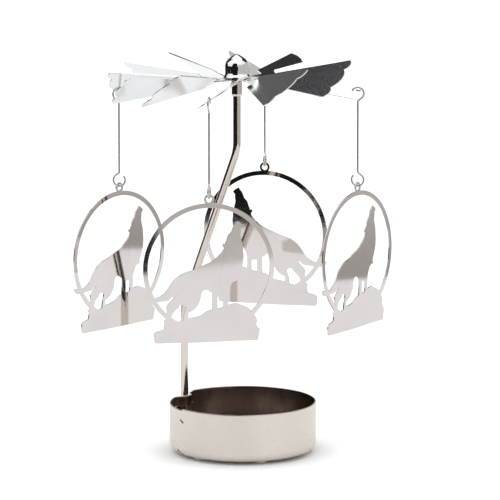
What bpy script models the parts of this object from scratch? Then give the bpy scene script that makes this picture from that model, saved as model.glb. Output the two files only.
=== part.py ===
import bpy
import bmesh
from math import sin, cos, tan, atan2, asin, sqrt, pi, radians
from mathutils import Vector, Matrix

# All lengths are metres. The origin is the middle of the cup's inner floor,
# where the tealight stands, with Z up. Azimuths are degrees from +X.

CLEARANCE = 0.0003         # between pieces that touch on the real one

# Candle cup, one pressed steel dish
SHEET = 0.0005
CUP_RADIUS = 0.0303
CUP_RIM_Z = 0.0197
CUP_CORNER = 0.0033
CUP_STEPS = 96
CORNER_STEPS = 4
CLIP_CROWDING = 0.6       # how strongly the wall's columns gather at the clip

# Six feet pressed down out of the floor
FOOT_COUNT = 6
FIRST_FOOT_AZIMUTH = -73.6
FOOT_INSET = 0.0024        # from the edge of the flat floor to a foot's middle
FOOT_CIRCLE = CUP_RADIUS - CUP_CORNER - FOOT_INSET
FOOT_RADIUS = 0.0037
FOOT_BEVEL = 0.0018
FOOT_FLAT_RADIUS = FOOT_RADIUS - FOOT_BEVEL
FOOT_DEPTH = 0.0012
FOOT_STEPS = 24

# Stem, a round rod bent twice. Its foot stands between the clip's strap and
# band, its top in the needle holder
STEM_RADIUS = 0.0016
BEND_RADIUS = 0.020
BEND_STEPS = 8
LOWER_BEND_Z = 0.0573
TOP_STRAIGHT = 0.0227      # from the upper bend to the holder
AXIS_X = -0.0024           # axis of the needle and the spinning wheel
AXIS_Y = 0.0014

# Clip that holds the stem: a band pressed in, a strap pressed out
CLIP_AZIMUTH = 148.0
CLIP_HALF_SPAN = 0.0069
CLIP_MARGIN = 0.0009       # flat wall left at each end of the slits
CLIP_SEAT_EDGE = 0.0001    # the pressed middle is this much wider than the rod
CLIP_SLOPE_START = STEM_RADIUS + CLIP_SEAT_EDGE
CLIP_SLOPE_END = CLIP_HALF_SPAN - CLIP_MARGIN
STRAP_BULGE = 0.00075
STEM_FOOT_RADIUS = CUP_RADIUS - SHEET + STRAP_BULGE - CLEARANCE - STEM_RADIUS
BAND_DEPTH = CUP_RADIUS - STEM_FOOT_RADIUS + STEM_RADIUS + CLEARANCE
SLIT_HEIGHT = 0.0005
BAND_HEIGHT = 0.00535
UPPER_SLIT_Z = CUP_RIM_Z - BAND_HEIGHT
LOWER_SLIT_Z = 0.0027
STEM_END_Z = LOWER_SLIT_Z + CLEARANCE

# Two short slits lanced at the front left, both falling to the right: one in
# the straight wall, a longer one in the corner below it
LANCE_AZIMUTHS = (-146.2, -150.0)
LANCE_LENGTHS = (0.0026, 0.0042)
LANCE_SLANTS = (-27.0, -23.0)
LANCE_Z = (0.0144, 0.0009)
LANCE_HEIGHTS = (0.0006, 0.0012)

# Needle holder on the stem's top and the needle in it
PIVOT_Z = 0.1593           # the needle's tip
NEEDLE_RADIUS = 0.0005
NEEDLE_POINT = 0.0020
NEEDLE_SHOWN = 0.0061      # the needle's length above the holder
NEEDLE_SUNK = 0.0019       # and within it
HOLDER_LENGTH = 0.0060
HOLDER_WALL = 0.00033
HOLDER_WEB = 0.0005        # metal between the needle's hole and the stem's socket
HOLDER_CHAMFER = 0.0008
HOLDER_RADIUS = STEM_RADIUS + CLEARANCE + HOLDER_WALL
HOLDER_TOP_Z = PIVOT_Z - NEEDLE_SHOWN
HOLDER_BOTTOM_Z = HOLDER_TOP_Z - HOLDER_LENGTH
NEEDLE_ROOT_Z = HOLDER_TOP_Z - NEEDLE_SUNK
SOCKET_DEPTH = NEEDLE_ROOT_Z - CLEARANCE - HOLDER_WEB - HOLDER_BOTTOM_Z
UPPER_BEND_Z = HOLDER_BOTTOM_Z - TOP_STRAIGHT

# Spinning wheel: hub disc, twelve twisted blades
WHEEL_SHEET = 0.00045
PIVOT_ABOVE_DISC = 0.0050
DISC_RADIUS = 0.0062
NEEDLE_ROOM = 0.0015       # between the needle and the hole in the disc
DISC_HOLE_RADIUS = NEEDLE_RADIUS + NEEDLE_ROOM
BLADE_COUNT = 12
FIRST_BLADE_AZIMUTH = -97.2
BLADE_TWIST = 32.3
NECK_HALF = 0.0011
NECK_ROWS = 8
NECK_LENGTH = 0.0115
ROOT_RADIUS = DISC_RADIUS + NECK_LENGTH
ROOT_HALF = 0.00385
# The scalloped outer edge: a wide middle peak, a notch and a small peak on
# each side, and the corners
TIP_RADIUS = 0.0535
NOTCH_DEPTH = 0.0024
SIDE_PEAK_BACK = 0.0010
CORNER_BACK = 0.0027
NOTCH_RADIUS = TIP_RADIUS - NOTCH_DEPTH
SIDE_PEAK_RADIUS = TIP_RADIUS - SIDE_PEAK_BACK
CORNER_RADIUS = TIP_RADIUS - CORNER_BACK
CORNER_HALF = 0.0121
SIDE_PEAK_IN = 0.0029
NOTCH_IN = 0.0062
SIDE_PEAK_HALF = CORNER_HALF - SIDE_PEAK_IN
NOTCH_HALF = CORNER_HALF - NOTCH_IN
CORNER_ROUND = 0.0010
SCALLOP_STEPS = 4
# Each blade is bent a little by hand: droop of its tip, and extra twist
BLADE_DROOP = (0.4, -0.6, -1.9, 2.4, 0.0, 1.3, -0.5, -1.3, -0.1, 1.5, 1.2, -0.3)
EXTRA_TWIST = (-1.3, 1.1, -0.2, 0.0, 0.0, -0.6, -0.1, 2.1, 0.4, -0.7, -1.8, 1.2)
# The wheel balances on the needle with a small lean
LEAN = 3.32
LEAN_AZIMUTH = 130.8

# Hanging hooks, bent from wire, and the holes for them in four blades
WIRE_RADIUS = 0.000375
LOOP_RADIUS = 0.0025
LOOP_DISTANCE = 0.0358
LOOP_SWEEP_START = -52.0
UPPER_LOOP_END = 182.0
LOWER_LOOP_END = 226.0
HOOK_FILLET = 0.0009
LOOP_STEP = 15.0
HOOK_SLACK = 0.0006        # between a blade and the top of the loop through it
WIRE_INWARD = 0.00015      # the wire crosses the hole this far inside its centre
HOOK_PLAY = 0.000825       # between the wire and its hole's rim
HOOK_HOLE_RADIUS = WIRE_RADIUS + HOOK_PLAY
HOOK_HOLE_BACK = 0.0027    # from the notch to the hole
HOOK_HOLE_AT = NOTCH_RADIUS - HOOK_HOLE_BACK
HOOK_HOLE_SIDE = -0.0058

# Dome cap over the needle, and the bearing cup inside it
DOME_TOP = 0.0103          # heights from the top of the hub disc
DOME_SPRING = 0.0054
DOME_POINT = 1.85          # 1 is a round dome, more is a more pointed one
DISC_EDGE = 0.0003         # the disc shows this much round the dome's skirt
SKIRT_FLARE = 0.0007
DOME_DRAFT = 0.0001
SKIRT_RADIUS = DISC_RADIUS - DISC_EDGE
DOME_FOOT_RADIUS = SKIRT_RADIUS - SKIRT_FLARE
DOME_RADIUS = DOME_FOOT_RADIUS - DOME_DRAFT
DOME_FOOT = 0.0026
SKIRT_TOP = 0.0019
SKIRT_LIP = 0.0009
DOME_SHEET = 0.0005
DOME_STEPS = 36
DOME_ROWS = 7
BEARING_RADIUS = 0.0016
BEARING_ROOM = 0.0012      # above the bearing cup, under the dome
BEARING_TOP = DOME_TOP - DOME_SHEET - BEARING_ROOM
BEARING_SKIRT = 0.0016     # the cup's wall below the needle's tip
BEARING_BOTTOM = PIVOT_ABOVE_DISC - BEARING_SKIRT
BEARING_CHAMFER = 0.0003
BEARING_LIP = 0.00035
BEARING_MOUTH = BEARING_RADIUS - BEARING_LIP

# Medallions: ring, eye and a howling wolf on a rock, stamped from one sheet
MEDALLION_SHEET = 0.0005
RING_RADIUS = 0.0268
RING_BAND = 0.0019
RING_STEPS = 64
EYE_PLAY = 0.000865        # between the wire and the eye's rim
EYE_BAND = 0.00091
EYE_RISE = 0.0015          # the eye's middle above the ring's edge
EYE_HOLE_RADIUS = WIRE_RADIUS + EYE_PLAY
EYE_RADIUS = EYE_HOLE_RADIUS + EYE_BAND
EYE_HEIGHT = RING_RADIUS + EYE_RISE
EYE_STEPS = 20
MEDALLION_HANG = 0.516       # degrees the figure turns so that it hangs level

# Outlines of the figure as shares of the ring's radius, right and up
WOLF_SHARES = (
    (0.443, 0.712), (0.456, 0.706), (0.481, 0.690), (0.509, 0.664), (0.521, 0.645),
    (0.506, 0.634), (0.489, 0.610), (0.487, 0.560), (0.481, 0.501), (0.490, 0.448),
    (0.508, 0.387), (0.522, 0.322), (0.524, 0.262), (0.531, 0.196), (0.528, 0.130),
    (0.522, 0.071), (0.500, 0.010), (0.481, -0.049), (0.459, -0.090), (0.447, -0.137),
    (0.463, -0.194), (0.430, -0.187), (0.401, -0.203), (0.385, -0.205), (0.368, -0.219),
    (0.334, -0.277), (0.318, -0.320), (0.302, -0.366), (0.299, -0.450), (0.297, -0.556),
    (0.321, -0.557), (0.377, -0.540), (0.436, -0.540), (0.489, -0.560), (0.552, -0.588),
    (0.619, -0.620), (0.642, -0.640), (0.649, -0.681), (0.672, -0.701), (0.698, -0.694),
    (0.716, -0.739), (0.739, -0.777), (0.746, -0.810), (0.739, -0.870), (0.757, -0.911),
    (0.787, -0.938), (0.791, -0.950), (0.776, -1.027), (0.765, -1.101), (0.750, -1.114),
    (0.474, -1.117), (0.168, -1.124), (-0.134, -1.131), (-0.593, -1.130), (-0.799, -1.128),
    (-0.816, -1.118), (-0.825, -1.091), (-0.825, -0.986), (-0.808, -0.960), (-0.769, -0.946),
    (-0.716, -0.933), (-0.681, -0.923), (-0.674, -0.889), (-0.671, -0.830), (-0.681, -0.803),
    (-0.640, -0.746), (-0.634, -0.715), (-0.637, -0.560), (-0.626, -0.542), (-0.589, -0.500),
    (-0.540, -0.446), (-0.533, -0.436), (-0.536, -0.420), (-0.552, -0.426), (-0.610, -0.478),
    (-0.700, -0.489), (-0.820, -0.500), (-0.920, -0.505), (-0.968, -0.470), (-0.992, -0.424),
    (-0.940, -0.418), (-0.880, -0.430), (-0.815, -0.437), (-0.774, -0.421), (-0.731, -0.401),
    (-0.683, -0.369), (-0.650, -0.332), (-0.617, -0.287), (-0.571, -0.215), (-0.535, -0.170),
    (-0.496, -0.133), (-0.387, -0.062), (-0.257, -0.022), (-0.127, 0.034), (0.058, 0.121),
    (0.151, 0.202), (0.188, 0.240), (0.225, 0.292), (0.223, 0.318), (0.205, 0.341),
    (0.215, 0.380), (0.250, 0.372), (0.248, 0.400), (0.261, 0.421), (0.284, 0.496),
    (0.300, 0.520), (0.336, 0.558), (0.345, 0.585), (0.373, 0.651), (0.400, 0.684),
    (0.420, 0.712), (0.432, 0.722),
)
HIND_GAP_SHARES = (
    (-0.434, -0.549), (-0.373, -0.543), (-0.345, -0.570), (-0.350, -0.608), (-0.368, -0.670),
    (-0.380, -0.729), (-0.385, -0.787), (-0.441, -0.801), (-0.480, -0.826), (-0.521, -0.852),
    (-0.556, -0.829), (-0.579, -0.801), (-0.567, -0.748), (-0.544, -0.686), (-0.510, -0.638),
    (-0.457, -0.593),
)
BELLY_GAP_SHARES = (
    (-0.315, -0.678), (-0.315, -0.750), (-0.289, -0.750), (-0.212, -0.738), (-0.121, -0.715),
    (-0.060, -0.676), (0.001, -0.643), (0.052, -0.629), (0.056, -0.400), (0.048, -0.366),
    (0.012, -0.355), (-0.006, -0.331), (-0.044, -0.326), (-0.082, -0.337), (-0.105, -0.378),
    (-0.120, -0.446), (-0.128, -0.492), (-0.159, -0.552), (-0.197, -0.605), (-0.258, -0.649),
)
FORE_GAP_SHARES = ((0.139, -0.424), (0.227, -0.426), (0.230, -0.594), (0.139, -0.613))

# Where each hook hangs: name, blade, azimuth of its loops' outward side, and
# azimuth of its medallion's right side
HANGERS = (
    ("front", 0, -100.0, 9.5),
    ("right", 3, -12.0, 57.0),
    ("back", 6, 80.0, 166.0),
    ("left", 9, 168.0, 47.0),
)

# Colour, metallic and roughness of each material
SATIN_STEEL = ("satin_steel", (0.72, 0.68, 0.64), 1.0, 0.32)
CHROME = ("chrome", (0.80, 0.79, 0.78), 1.0, 0.08)
NEEDLE_STEEL = ("needle_steel", (0.55, 0.55, 0.56), 1.0, 0.25)
BRASS = ("brass", (0.72, 0.55, 0.26), 1.0, 0.30)

MERGE = 0.00001
FLAT_ANGLE = radians(0.1)
CUTTER_REACH = 3.0         # cutters run this many sheets past the wall each way

for leftover in list(bpy.data.objects):
    bpy.data.objects.remove(leftover, do_unlink=True)

partsCollection = bpy.data.collections.new("candle_carousel")
cutters = bpy.data.collections.new("cutters")
bpy.context.scene.collection.children.link(partsCollection)
bpy.context.scene.collection.children.link(cutters)


def material(spec):
    name, colour, metallic, roughness = spec
    mat = bpy.data.materials.get(name)
    if mat is None:
        mat = bpy.data.materials.new(name)
        mat.use_nodes = True
        shader = mat.node_tree.nodes["Principled BSDF"]
        shader.inputs["Base Color"].default_value = (*colour, 1.0)
        shader.inputs["Metallic"].default_value = metallic
        shader.inputs["Roughness"].default_value = roughness
        mat.diffuse_color = (*colour, 1.0)
    return mat


def add_object(name, data, collection):
    ob = bpy.data.objects.new(name, data)
    collection.objects.link(ob)
    if collection is cutters:
        ob.hide_render = True
        ob.display_type = 'WIRE'
    return ob


def finish(ob, spec, smooth_angle=radians(35)):
    ob.data.materials.clear()
    ob.data.materials.append(material(spec))
    bm = bmesh.new()
    bm.from_mesh(ob.data)
    for face in bm.faces:
        face.smooth = True
    for edge in bm.edges:
        edge.smooth = not edge.is_boundary and edge.calc_face_angle(pi) < smooth_angle
    bm.to_mesh(ob.data)
    bm.free()
    return ob


def baked(ob):
    """Replace an object's modifiers, or its curve, by the finished mesh."""
    name, collection = ob.name, ob.users_collection[0]
    graph = bpy.context.evaluated_depsgraph_get()
    mesh = bpy.data.meshes.new_from_object(ob.evaluated_get(graph))
    matrix = ob.matrix_world.copy()
    bpy.data.objects.remove(ob, do_unlink=True)
    bm = bmesh.new()
    bm.from_mesh(mesh)
    bmesh.ops.remove_doubles(bm, verts=bm.verts[:], dist=MERGE)
    bmesh.ops.recalc_face_normals(bm, faces=bm.faces[:])
    bm.to_mesh(mesh)
    bm.free()
    mesh.name = name
    ob = add_object(name, mesh, collection)
    ob.matrix_world = matrix
    return ob


def revolved(name, profile, steps, collection=partsCollection):
    """Turn a profile of (radius, height) points, outer side top to bottom."""
    mesh = bpy.data.meshes.new(name)
    edges = [(i, i + 1) for i in range(len(profile) - 1)]
    mesh.from_pydata([(r, 0, z) for r, z in profile], edges, [])
    ob = add_object(name, mesh, collection)
    turn = ob.modifiers.new("turn", 'SCREW')
    turn.angle = 2 * pi
    turn.steps = steps
    turn.render_steps = steps
    turn.use_merge_vertices = True
    turn.merge_threshold = MERGE
    return baked(ob)


def flat_plate(name, loops, thickness, collection=partsCollection):
    """Cut a plate, centred on its sheet, from closed loops in the XY plane."""
    curve = bpy.data.curves.new(name, 'CURVE')
    curve.dimensions = '2D'
    curve.fill_mode = 'BOTH'
    curve.extrude = thickness / 2
    for loop in loops:
        spline = curve.splines.new('POLY')
        spline.points.add(len(loop) - 1)
        for point, (x, y) in zip(spline.points, loop):
            point.co = (x, y, 0, 1)
        spline.use_cyclic_u = True
    return baked(add_object(name, curve, collection))


def wire(name, path, radius, rings):
    """A round rod along a path, with filled ends."""
    curve = bpy.data.curves.new(name, 'CURVE')
    curve.dimensions = '3D'
    curve.bevel_depth = radius
    curve.bevel_resolution = rings
    curve.use_fill_caps = True
    spline = curve.splines.new('POLY')
    spline.points.add(len(path) - 1)
    for point, place in zip(spline.points, path):
        point.co = (*place, 1)
    return baked(add_object(name, curve, partsCollection))


def combine(ob, other, operation):
    step = ob.modifiers.new(operation.lower(), 'BOOLEAN')
    step.operation = operation
    step.solver = 'EXACT'
    step.object = other
    result = baked(ob)
    if operation == 'UNION':
        bpy.data.objects.remove(other, do_unlink=True)
    return result


def box(name, size, matrix):
    mesh = bpy.data.meshes.new(name)
    bm = bmesh.new()
    bmesh.ops.create_cube(bm, size=1.0, matrix=matrix @ Matrix.Diagonal((*size, 1.0)))
    bm.to_mesh(mesh)
    bm.free()
    return add_object(name, mesh, cutters)


def flattened(ob):
    """Merge the coplanar faces that the cuts left in a flat sheet."""
    bm = bmesh.new()
    bm.from_mesh(ob.data)
    bmesh.ops.dissolve_limit(bm, angle_limit=FLAT_ANGLE, verts=bm.verts[:], edges=bm.edges[:])
    bmesh.ops.triangulate(bm, faces=bm.faces[:], quad_method='BEAUTY', ngon_method='EAR_CLIP')
    bm.to_mesh(ob.data)
    bm.free()
    return ob


def joined(name, obs, collection):
    """Put separate, untouching meshes into one object."""
    bm = bmesh.new()
    for ob in obs:
        part = ob.data.copy()
        part.transform(ob.matrix_world)
        bm.from_mesh(part)
        bpy.data.objects.remove(ob, do_unlink=True)
    mesh = bpy.data.meshes.new(name)
    bm.to_mesh(mesh)
    bm.free()
    return add_object(name, mesh, collection)


def direction(azimuth):
    return Vector((cos(radians(azimuth)), sin(radians(azimuth)), 0))


def circle(radius, steps, centre=(0, 0)):
    turns = [2 * pi * i / steps for i in range(steps)]
    return [(centre[0] + radius * cos(t), centre[1] + radius * sin(t)) for t in turns]


def smooth_step(share):
    share = min(1.0, max(0.0, share))
    return share * share * (3 - 2 * share)


def filleted(points, radius, steps):
    """Round the inner corners of a path."""
    path = [points[0]]
    for before, corner, after in zip(points, points[1:], points[2:]):
        back, ahead = (before - corner).normalized(), (after - corner).normalized()
        half = back.angle(ahead) / 2
        reach = radius / tan(half)
        centre = corner + (back + ahead).normalized() * (radius / sin(half))
        first = (corner + back * reach - centre).normalized()
        last = (corner + ahead * reach - centre).normalized()
        for i in range(steps + 1):
            path.append(centre + first.slerp(last, i / steps) * radius)
    path.append(points[-1])
    return path


def arc_through(start, peak, end, steps):
    """Points of the arc over start, peak and end, leaving out both ends."""
    (ax, ay), (bx, by), (cx, cy) = start, peak, end
    d = 2 * (ax * (by - cy) + bx * (cy - ay) + cx * (ay - by))
    a2, b2, c2 = ax * ax + ay * ay, bx * bx + by * by, cx * cx + cy * cy
    ux = (a2 * (by - cy) + b2 * (cy - ay) + c2 * (ay - by)) / d
    uy = (a2 * (cx - bx) + b2 * (ax - cx) + c2 * (bx - ax)) / d
    radius = sqrt((ax - ux) ** 2 + (ay - uy) ** 2)
    first, last = atan2(ay - uy, ax - ux), atan2(cy - uy, cx - ux)
    return [(ux + radius * cos(t), uy + radius * sin(t))
            for t in (first + (last - first) * i / steps for i in range(1, steps))]


def cup_profile():
    inner = CUP_CORNER - SHEET
    middle = CUP_RADIUS - CUP_CORNER, CUP_CORNER - SHEET
    lip = SHEET / 4
    points = [(0, 0), (middle[0], 0)]
    for i in range(1, CORNER_STEPS + 1):
        t = -pi / 2 + pi / 2 * i / CORNER_STEPS
        points.append((middle[0] + inner * cos(t), middle[1] + inner * sin(t)))
    points += [(CUP_RADIUS - SHEET, CUP_RIM_Z - lip), (CUP_RADIUS - SHEET + lip, CUP_RIM_Z),
               (CUP_RADIUS - lip, CUP_RIM_Z), (CUP_RADIUS, CUP_RIM_Z - lip)]
    for i in range(CORNER_STEPS + 1):
        t = -pi / 2 * i / CORNER_STEPS
        points.append((middle[0] + CUP_CORNER * cos(t), middle[1] + CUP_CORNER * sin(t)))
    points.append((0, -SHEET))
    return points


def wall_place(z):
    """Radius of the sheet's middle at a height, and how far its outside faces down."""
    middle = CUP_CORNER - SHEET / 2
    tilt = asin(max(0, CUP_CORNER - SHEET - z) / middle)
    return CUP_RADIUS - CUP_CORNER + middle * cos(tilt), tilt


def foot_places():
    for i in range(FOOT_COUNT):
        yield direction(FIRST_FOOT_AZIMUTH + 360 / FOOT_COUNT * i) * FOOT_CIRCLE


def candle_cup():
    cup = revolved("candle_cup", cup_profile(), CUP_STEPS)
    clip = radians(CLIP_AZIMUTH)
    # gather the columns at the clip, where the wall is bent
    for v in cup.data.vertices:
        turn = atan2(v.co.y, v.co.x) - clip
        turn -= CLIP_CROWDING * sin(turn)
        reach = sqrt(v.co.x ** 2 + v.co.y ** 2)
        v.co.x, v.co.y = reach * cos(clip + turn), reach * sin(clip + turn)

    dishes, holes = [], []
    for place in foot_places():
        dish = revolved("dish", [(FOOT_RADIUS - SHEET, -SHEET / 4), (FOOT_RADIUS, -SHEET / 4),
                                 (FOOT_RADIUS, -SHEET * 3 / 4),
                                 (FOOT_FLAT_RADIUS, -SHEET - FOOT_DEPTH),
                                 (0, -SHEET - FOOT_DEPTH), (0, -FOOT_DEPTH),
                                 (FOOT_FLAT_RADIUS - SHEET / 4, -FOOT_DEPTH),
                                 (FOOT_RADIUS - SHEET, -SHEET / 4)], FOOT_STEPS)
        dish.location = place
        hole = revolved("hole", [(0, SHEET), (FOOT_RADIUS - SHEET, SHEET),
                                 (FOOT_RADIUS - SHEET, -2 * SHEET), (0, -2 * SHEET)],
                        FOOT_STEPS, cutters)
        hole.location = place
        dishes.append(dish)
        holes.append(hole)
    bpy.context.view_layer.update()
    cup = combine(cup, joined("foot_holes", holes, cutters), 'DIFFERENCE')
    cup = combine(cup, joined("foot_dishes", dishes, partsCollection), 'UNION')

    turned = Matrix.Rotation(clip, 4, 'Z')
    wall = CUP_RADIUS - SHEET / 2
    slit_size = (2 * CUTTER_REACH * SHEET, 2 * CLIP_HALF_SPAN, SLIT_HEIGHT)
    slits = [box("slit", slit_size, turned @ Matrix.Translation((wall, 0, z + SLIT_HEIGHT / 2)))
             for z in (UPPER_SLIT_Z, LOWER_SLIT_Z)]
    for azimuth, z, length, height, slant in zip(LANCE_AZIMUTHS, LANCE_Z, LANCE_LENGTHS,
                                                 LANCE_HEIGHTS, LANCE_SLANTS):
        reach, tilt = wall_place(z)
        turned = (Matrix.Rotation(radians(azimuth), 4, 'Z') @ Matrix.Translation((reach, 0, z))
                  @ Matrix.Rotation(tilt, 4, 'Y') @ Matrix.Rotation(radians(slant), 4, 'X'))
        slits.append(box("lance", (2 * CUTTER_REACH * SHEET, length, height), turned))
    cup = combine(cup, joined("wall_slits", slits, cutters), 'DIFFERENCE')

    # press the band in above the upper slit and the strap out below it
    for v in cup.data.vertices:
        reach = sqrt(v.co.x ** 2 + v.co.y ** 2)
        turn = (atan2(v.co.y, v.co.x) - clip + pi) % (2 * pi) - pi
        slope = (abs(turn) * CUP_RADIUS - CLIP_SLOPE_START) / (CLIP_SLOPE_END - CLIP_SLOPE_START)
        share = 1 - smooth_step(slope)
        if reach < CUP_RADIUS - CUP_CORNER:
            continue
        if v.co.z > UPPER_SLIT_Z + SLIT_HEIGHT / 2:
            moved = -BAND_DEPTH * share
        elif LOWER_SLIT_Z + SLIT_HEIGHT / 2 < v.co.z:
            moved = STRAP_BULGE * share
        else:
            moved = 0
        v.co.x *= (reach + moved) / reach
        v.co.y *= (reach + moved) / reach
    finish(cup, SATIN_STEEL)


def stem():
    foot = direction(CLIP_AZIMUTH) * STEM_FOOT_RADIUS
    top = HOLDER_BOTTOM_Z + SOCKET_DEPTH - CLEARANCE
    corners = [Vector((foot.x, foot.y, STEM_END_Z)), Vector((foot.x, foot.y, LOWER_BEND_Z)),
               Vector((AXIS_X, AXIS_Y, UPPER_BEND_Z)), Vector((AXIS_X, AXIS_Y, top))]
    finish(wire("stem", filleted(corners, BEND_RADIUS, BEND_STEPS), STEM_RADIUS, 6), CHROME)


def needle_holder():
    socket = STEM_RADIUS + CLEARANCE
    bore = NEEDLE_RADIUS + CLEARANCE
    edge = HOLDER_CHAMFER
    floor = NEEDLE_ROOT_Z - CLEARANCE
    profile = [(0, floor), (bore, floor), (bore, HOLDER_TOP_Z),
               (HOLDER_RADIUS - edge / 2, HOLDER_TOP_Z), (HOLDER_RADIUS, HOLDER_TOP_Z - edge / 2),
               (HOLDER_RADIUS, HOLDER_BOTTOM_Z + edge), (socket + SHEET / 4, HOLDER_BOTTOM_Z),
               (socket, HOLDER_BOTTOM_Z), (socket, HOLDER_BOTTOM_Z + SOCKET_DEPTH),
               (0, HOLDER_BOTTOM_Z + SOCKET_DEPTH)]
    ob = revolved("needle_holder", profile, DOME_STEPS // 2)
    ob.location = (AXIS_X, AXIS_Y, 0)
    finish(ob, CHROME)


def needle():
    profile = [(0, PIVOT_Z), (NEEDLE_RADIUS, PIVOT_Z - NEEDLE_POINT),
               (NEEDLE_RADIUS, NEEDLE_ROOT_Z), (0, NEEDLE_ROOT_Z)]
    ob = revolved("needle", profile, DOME_STEPS // 4)
    ob.location = (AXIS_X, AXIS_Y, 0)
    finish(ob, NEEDLE_STEEL)


def leaning():
    """Place of the wheel and dome: at the needle's tip, with the lean."""
    tilt_axis = direction(LEAN_AZIMUTH + 90)
    return (Matrix.Translation((AXIS_X, AXIS_Y, PIVOT_Z))
            @ Matrix.Rotation(radians(LEAN), 4, tilt_axis))


def dome_cap():
    def shell(radius, foot_radius, top):
        rows = [i / DOME_ROWS * pi / 2 for i in range(DOME_ROWS + 1)]
        rise = top - DOME_SPRING
        return ([(radius * sin(t) ** DOME_POINT, DOME_SPRING + rise * cos(t)) for t in rows]
                + [(foot_radius, DOME_FOOT)])
    flare = (SKIRT_RADIUS - DOME_FOOT_RADIUS) / 4
    outer = shell(DOME_RADIUS, DOME_FOOT_RADIUS, DOME_TOP)
    outer += [(DOME_FOOT_RADIUS + flare, SKIRT_TOP), (SKIRT_RADIUS - flare / 2, SKIRT_LIP + flare),
              (SKIRT_RADIUS, SKIRT_LIP), (SKIRT_RADIUS, CLEARANCE)]
    inner = shell(DOME_RADIUS - DOME_SHEET, DOME_FOOT_RADIUS - DOME_SHEET, DOME_TOP - DOME_SHEET)
    inner += [(DOME_FOOT_RADIUS + flare - DOME_SHEET, SKIRT_TOP),
              (SKIRT_RADIUS - DOME_SHEET, SKIRT_LIP), (SKIRT_RADIUS - DOME_SHEET, CLEARANCE)]
    profile = [(r, h - PIVOT_ABOVE_DISC) for r, h in outer + inner[::-1]]
    ob = revolved("dome_cap", profile, DOME_STEPS)
    ob.matrix_world = leaning()
    finish(ob, CHROME)


def bearing_cup():
    r, edge = BEARING_RADIUS, BEARING_CHAMFER
    apex = PIVOT_ABOVE_DISC + CLEARANCE
    profile = [(0, BEARING_TOP), (r - edge, BEARING_TOP), (r, BEARING_TOP - edge),
               (r, BEARING_BOTTOM), (BEARING_MOUTH, BEARING_BOTTOM), (0, apex)]
    ob = revolved("bearing_cup", [(x, h - PIVOT_ABOVE_DISC) for x, h in profile], DOME_STEPS // 2)
    ob.location = (AXIS_X, AXIS_Y, PIVOT_Z)
    finish(ob, BRASS)


def blade_frame(k, r):
    """Unit vectors along and across blade k at radius r, before the lean."""
    share = smooth_step((r - DISC_RADIUS) / (ROOT_RADIUS - DISC_RADIUS))
    droop = radians(BLADE_DROOP[k]) * share
    twist = radians(BLADE_TWIST + EXTRA_TWIST[k]) * share
    out = direction(FIRST_BLADE_AZIMUTH + 360 / BLADE_COUNT * k)
    across, up = Vector((0, 0, 1)).cross(out), Vector((0, 0, 1))
    along = cos(droop) * out - sin(droop) * up
    lifted = cos(droop) * up + sin(droop) * out
    return along, cos(twist) * across + sin(twist) * lifted


def blade_point(k, r, w):
    along, across = blade_frame(k, r)
    return along * r + across * w - Vector((0, 0, PIVOT_ABOVE_DISC + WHEEL_SHEET / 2))


def rounded_corner():
    """Outer corner of a blade: its side edge turned into its first scallop."""
    corner = Vector((CORNER_RADIUS, CORNER_HALF, 0))
    side = Vector((ROOT_RADIUS, ROOT_HALF, 0))
    first = Vector((*arc_through((CORNER_RADIUS, CORNER_HALF), (SIDE_PEAK_RADIUS, SIDE_PEAK_HALF),
                                 (NOTCH_RADIUS, NOTCH_HALF), SCALLOP_STEPS)[0], 0))
    return [(p.x, p.y) for p in filleted([side, corner, first], CORNER_ROUND, 3)[1:-1]]


def blade_end():
    """Edge of a blade from its root corner round its tip to the other root corner."""
    side = arc_through((CORNER_RADIUS, CORNER_HALF), (SIDE_PEAK_RADIUS, SIDE_PEAK_HALF),
                       (NOTCH_RADIUS, NOTCH_HALF), SCALLOP_STEPS)
    upper = [(ROOT_RADIUS, ROOT_HALF)] + rounded_corner() + side[1:] + [(NOTCH_RADIUS, NOTCH_HALF)]
    tip = arc_through((NOTCH_RADIUS, NOTCH_HALF), (TIP_RADIUS, 0),
                      (NOTCH_RADIUS, -NOTCH_HALF), 2 * SCALLOP_STEPS)
    return upper + tip + [(r, -w) for r, w in upper[::-1]]


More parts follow.
